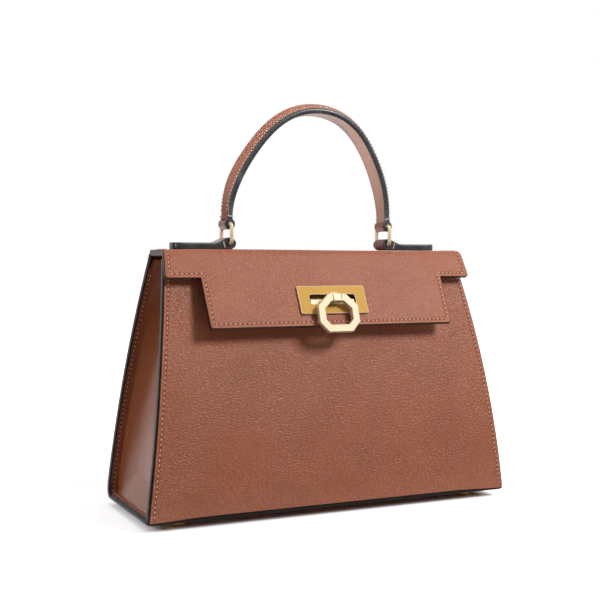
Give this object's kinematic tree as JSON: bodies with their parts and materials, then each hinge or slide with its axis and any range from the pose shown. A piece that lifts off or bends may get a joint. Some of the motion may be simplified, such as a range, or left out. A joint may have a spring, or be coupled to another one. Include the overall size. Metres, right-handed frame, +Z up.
{
  "type": "leather handbag",
  "caption": "Structured leather top-handle bag with a hinged flap, a slotted clasp plate with a hanging ring, folded side gussets, metal feet and a stiff arched handle on wire rings.",
  "frame": {"origin": "on the floor below the middle of the bag's bounding box", "axes": "+X to the right seen from the front, -Y out of the front, +Z up"},
  "size_m": [0.28, 0.1082, 0.2967],
  "materials": {
    "tan_leather": "grained calf leather, semi-matt, with dark painted edges",
    "lining_leather": "smooth lining leather, matt",
    "bag_board": "fibre board stiffener",
    "satin_gold": "gold-plated brass, satin",
    "polished_gold": "gold-plated brass, polished",
    "plated_steel": "nickel-plated steel"
  },
  "bodies": {
    "shell": {"front_panel": "tan_leather", "back_panel": "tan_leather", "base_panel": "tan_leather", "left_gusset": "tan_leather", "right_gusset": "tan_leather", "front_board": "bag_board", "back_board": "bag_board", "base_board": "bag_board", "front_lining": "lining_leather", "back_lining": "lining_leather", "base_lining": "lining_leather", "left_gusset_lining": "lining_leather", "right_gusset_lining": "lining_leather", "inner_pocket": "lining_leather", "foot_front_left": "satin_gold", "foot_front_right": "satin_gold", "foot_back_left": "satin_gold", "foot_back_right": "satin_gold", "foot_washer_front_left": "plated_steel", "foot_washer_front_right": "plated_steel", "foot_washer_back_left": "plated_steel", "foot_washer_back_right": "plated_steel", "lock_housing": "satin_gold", "lock_bar": "polished_gold", "lock_backing": "plated_steel", "lock_screw_left": "plated_steel", "lock_screw_right": "plated_steel"},
    "flap": {"flap_leather": "tan_leather", "flap_board": "bag_board", "flap_lining": "lining_leather", "clasp_plate": "satin_gold", "knuckle": "polished_gold", "plate_rivet_left": "satin_gold", "plate_rivet_right": "satin_gold", "tab_left": "tan_leather", "tab_right": "tan_leather"},
    "clasp": {"clasp_ring": "polished_gold", "clasp_pin": "polished_gold"},
    "left_link": {"ring_left": "polished_gold"},
    "right_link": {"ring_right": "polished_gold"},
    "handle": {"handle_cover": "tan_leather", "handle_core": "bag_board", "handle_strip": "tan_leather", "handle_loop_left": "tan_leather", "handle_loop_right": "tan_leather"}
  },
  "joints": [
    {"name": "flap_hinge", "type": "hinge", "parent": "shell", "child": "flap", "pos_m": [0, 0.0149, 0.1861], "axis": [-1, 0, 0], "range_deg": [0, 110]},
    {"name": "clasp_ring_hinge", "type": "hinge", "parent": "flap", "child": "clasp", "pos_m": [0, -0.04723, 0.15272], "axis": [-1, 0, 0], "range_deg": [0, 180]},
    {"name": "left_link_hinge", "type": "hinge", "parent": "flap", "child": "left_link", "pos_m": [-0.0645, 0, 0.1916], "axis": [0, 1, 0], "range_deg": [-55, 55]},
    {"name": "handle_hinge", "type": "hinge", "parent": "left_link", "child": "handle", "pos_m": [-0.0645, 0, 0.2055], "axis": [0, 1, 0], "range_deg": [-55, 55]},
    {"name": "right_link_hinge", "type": "hinge", "parent": "flap", "child": "right_link", "pos_m": [0.0645, 0, 0.1916], "axis": [0, 1, 0], "range_deg": [-55, 55]}
  ],
  "couplings": [
    {"joint": "handle_hinge", "follows": "left_link_hinge", "ratio": -1},
    {"joint": "right_link_hinge", "follows": "left_link_hinge", "ratio": 1}
  ]
}
